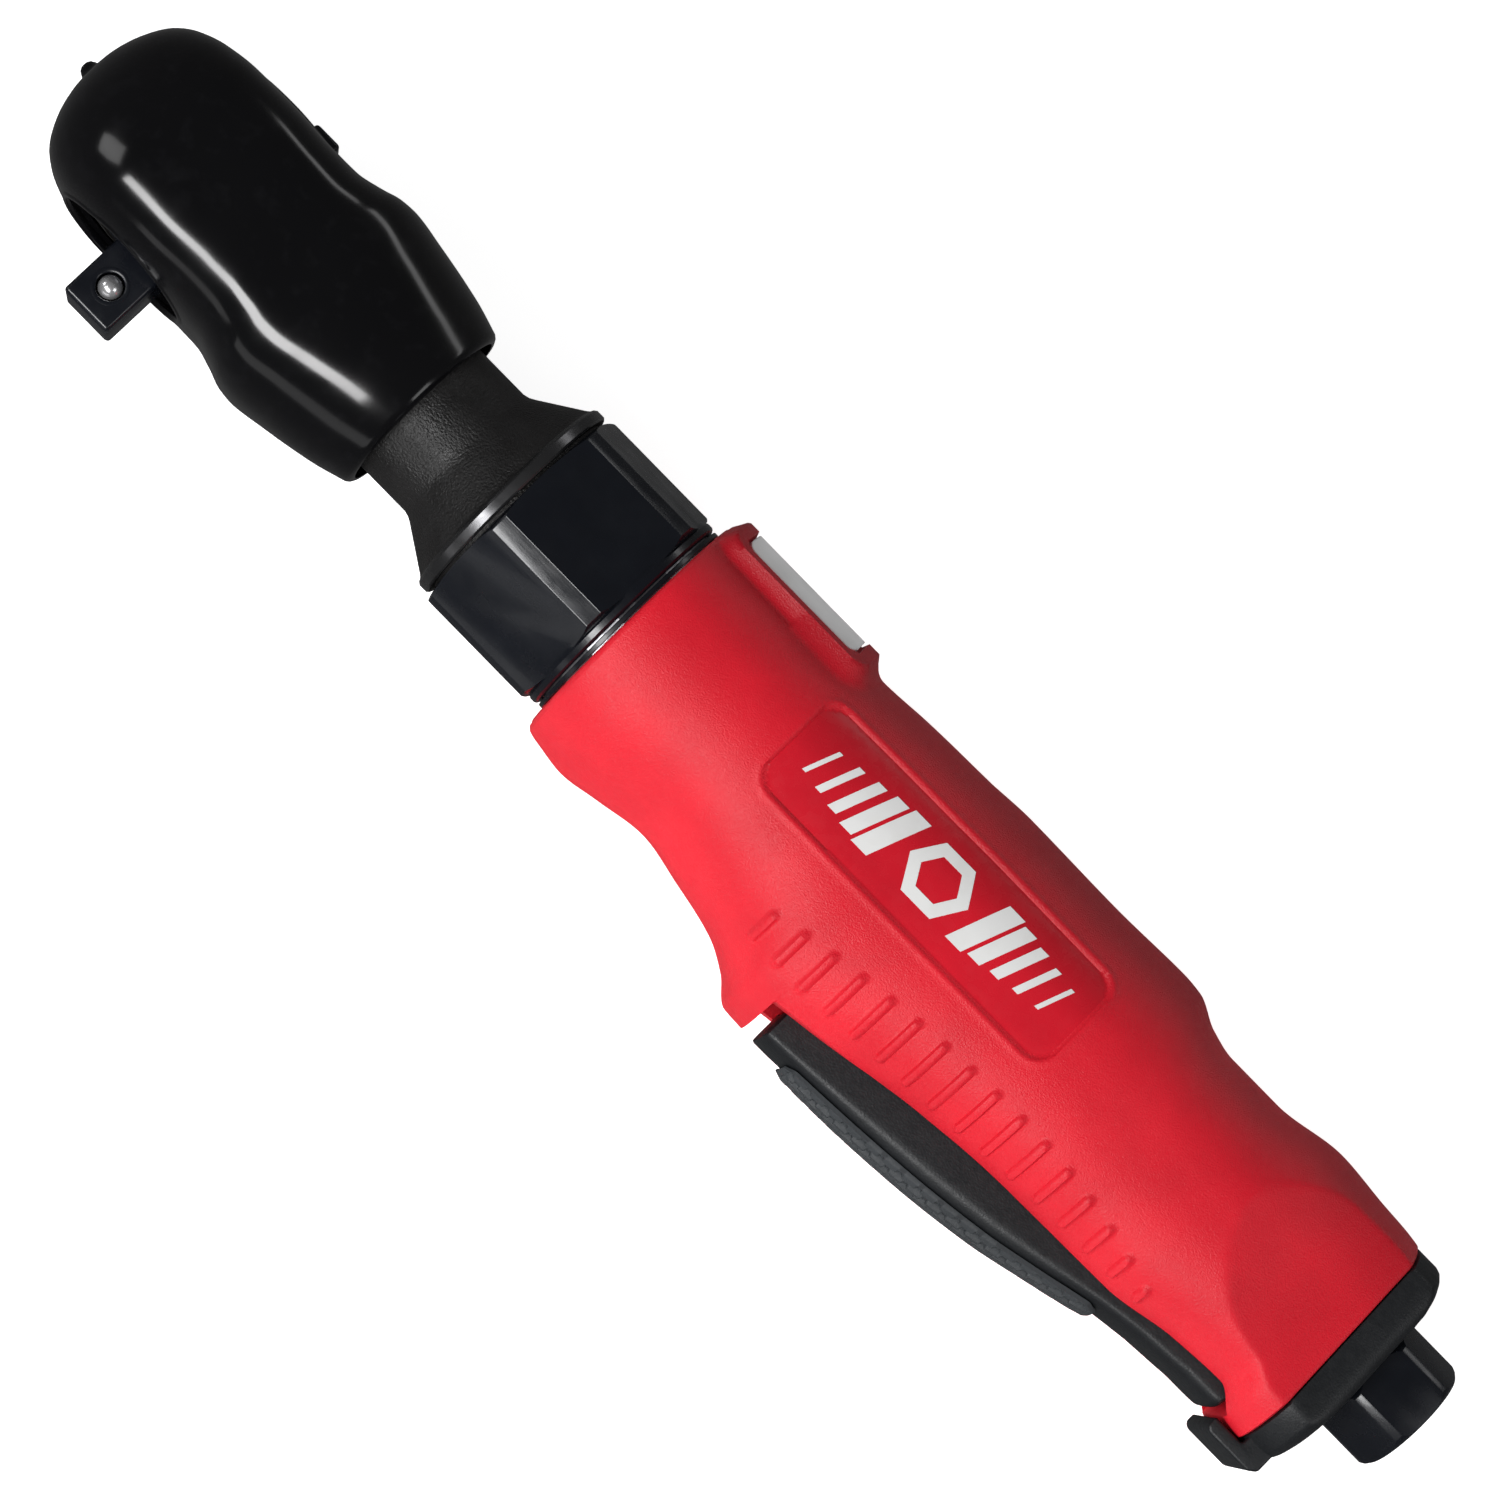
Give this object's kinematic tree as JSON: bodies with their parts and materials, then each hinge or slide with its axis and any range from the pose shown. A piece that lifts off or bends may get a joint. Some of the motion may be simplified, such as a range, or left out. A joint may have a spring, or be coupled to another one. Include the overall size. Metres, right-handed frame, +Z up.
{
  "type": "air ratchet",
  "caption": "Air ratchet wrench: square drive head in a vinyl boot, hex clamp nut, moulded grip with throttle lever and pad, end cap and hex air inlet, vane motor and gear train inside.",
  "frame": {"origin": "centre of the drive square's end face", "axes": "+X from the head to the air inlet along the tool, -Y the way the drive square points, +Z up with the tool lying on its side"},
  "size_m": [0.2983, 0.0579, 0.0448],
  "materials": {
    "vinyl": "dip-moulded glossy black vinyl",
    "cast_black": "black cast texture with a polished flange",
    "black_oxide": "satin blued-black steel",
    "steel": "ground steel",
    "polished_steel": "polished ball steel",
    "spring_steel": "drawn wire",
    "brass": "turned",
    "red_composite": "moulded red nylon, satin, with a fine grain",
    "grey_composite": "moulded charcoal nylon",
    "pad_rubber": "grey moulded rubber",
    "vane_resin": "phenolic laminate",
    "aluminium": "brushed, light",
    "muffler_felt": "felt",
    "seal_rubber": "nitrile"
  },
  "bodies": {
    "housing": {"boot": "vinyl", "ratchet_housing": "cast_black", "thrust_washer": "brass", "crank_bearing": "steel", "ring_gear": "steel", "clamp_nut": "black_oxide", "spacer_ring": "black_oxide", "motor_sleeve": "steel", "front_end_plate": "aluminium", "rear_end_plate": "aluminium", "front_bearing": "steel", "rear_bearing": "steel", "motor_cylinder": "steel", "motor_dowel": "steel", "grip_handle": "red_composite", "name_plate": "aluminium", "lever_pin": "steel", "valve_bush": "brass", "valve_seat": "brass", "end_cap": "grey_composite", "exhaust_muffler": "muffler_felt", "inlet_bushing": "black_oxide", "inlet_screen": "brass", "inlet_o_ring": "seal_rubber", "valve_spring": "spring_steel"},
    "anvil": {"drive_anvil": "black_oxide", "pawl_pin": "steel", "retaining_ring": "spring_steel", "detent_spring": "spring_steel"},
    "detent": {"detent_ball": "polished_steel"},
    "pawl": {"pawl": "steel"},
    "knob": {"reverse_knob": "black_oxide", "plunger_spring": "spring_steel"},
    "plunger": {"pawl_plunger": "steel"},
    "yoke": {"ratchet_yoke": "steel"},
    "crank": {"crankshaft": "steel", "planet_pin_1": "steel", "planet_pin_2": "steel", "planet_pin_3": "steel"},
    "crank_roller": {"drive_bushing": "brass"},
    "planet_a": {"planet_gear_1": "steel"},
    "planet_b": {"planet_gear_2": "steel"},
    "planet_c": {"planet_gear_3": "steel"},
    "motor": {"rotor": "steel"},
    "vane_a": {"vane_1": "vane_resin"},
    "vane_b": {"vane_2": "vane_resin"},
    "vane_c": {"vane_3": "vane_resin"},
    "vane_d": {"vane_4": "vane_resin"},
    "lever": {"throttle_lever": "grey_composite", "lever_pad": "pad_rubber"},
    "valve": {"valve_stem": "steel"}
  },
  "joints": [
    {"name": "anvil_turn", "type": "hinge", "parent": "housing", "child": "anvil", "pos_m": [0, 0.0277, 0], "axis": [0, 1, 0], "continuous": true},
    {"name": "detent_press", "type": "slide", "parent": "anvil", "child": "detent", "axis": [0, 0, -1], "range_m": [0, 0.0011], "stiffness_N_per_m": 400, "springref_m": -0.0005, "deforming": ["detent_spring"]},
    {"name": "reverse_turn", "type": "hinge", "parent": "anvil", "child": "knob", "pos_m": [0, 0.0277, 0], "axis": [0, 1, 0], "range_deg": [-18, 18]},
    {"name": "pawl_rock", "type": "hinge", "parent": "anvil", "child": "pawl", "pos_m": [-0.0082, 0.0277, 0], "axis": [0, 1, 0], "range_deg": [-3.6, 3.6]},
    {"name": "plunger_press", "type": "slide", "parent": "knob", "child": "plunger", "axis": [1, 0, 0], "range_m": [0, 0.0002], "stiffness_N_per_m": 200, "springref_m": -0.0005, "deforming": ["plunger_spring"]},
    {"name": "yoke_swing", "type": "hinge", "parent": "housing", "child": "yoke", "pos_m": [0, 0.0277, 0], "axis": [0, 1, 0], "range_deg": [-3.6, 3.6]},
    {"name": "rotor_spin", "type": "hinge", "parent": "housing", "child": "motor", "pos_m": [0.079, 0.0277, 0], "axis": [1, 0, 0], "continuous": true},
    {"name": "crank_spin", "type": "hinge", "parent": "housing", "child": "crank", "pos_m": [0.079, 0.0277, 0], "axis": [1, 0, 0], "continuous": true},
    {"name": "bushing_spin", "type": "hinge", "parent": "crank", "child": "crank_roller", "pos_m": [0.026, 0.0292, 0], "axis": [1, 0, 0], "continuous": true},
    {"name": "planet_a_spin", "type": "hinge", "parent": "crank", "child": "planet_a", "pos_m": [0.079, 0.0358, 0], "axis": [1, 0, 0], "continuous": true},
    {"name": "planet_b_spin", "type": "hinge", "parent": "crank", "child": "planet_b", "pos_m": [0.079, 0.02365, 0.00702], "axis": [1, 0, 0], "continuous": true},
    {"name": "planet_c_spin", "type": "hinge", "parent": "crank", "child": "planet_c", "pos_m": [0.079, 0.02365, -0.00702], "axis": [1, 0, 0], "continuous": true},
    {"name": "vane_a_slide", "type": "slide", "parent": "motor", "child": "vane_a", "axis": [0, 0.7071, 0.7071], "range_m": [0, 0.00035]},
    {"name": "vane_b_slide", "type": "slide", "parent": "motor", "child": "vane_b", "axis": [0, -0.7071, 0.7071], "range_m": [0, 0.00035]},
    {"name": "vane_c_slide", "type": "slide", "parent": "motor", "child": "vane_c", "axis": [0, -0.7071, -0.7071], "range_m": [0, 0.00035]},
    {"name": "vane_d_slide", "type": "slide", "parent": "motor", "child": "vane_d", "axis": [0, 0.7071, -0.7071], "range_m": [0, 0.00035]},
    {"name": "lever_press", "type": "hinge", "parent": "housing", "child": "lever", "pos_m": [0.2415, 0.0119, 0], "axis": [0, 0, -1], "range_deg": [0, 3.2], "stiffness_Nm_per_rad": 3, "springref_deg": -2.86},
    {"name": "valve_lift", "type": "slide", "parent": "housing", "child": "valve", "axis": [0, 1, 0], "range_m": [0, 0.0022], "deforming": ["valve_spring"]}
  ],
  "couplings": [
    {"joint": "crank_spin", "follows": "rotor_spin", "ratio": 0.22222},
    {"joint": "bushing_spin", "follows": "rotor_spin", "ratio": -0.22222},
    {"joint": "valve_lift", "follows": "lever_press", "m_per_rad": 0.0385},
    {"joint": "planet_a_spin", "follows": "rotor_spin", "ratio": -0.62222},
    {"joint": "planet_b_spin", "follows": "rotor_spin", "ratio": -0.62222},
    {"joint": "planet_c_spin", "follows": "rotor_spin", "ratio": -0.62222}
  ]
}
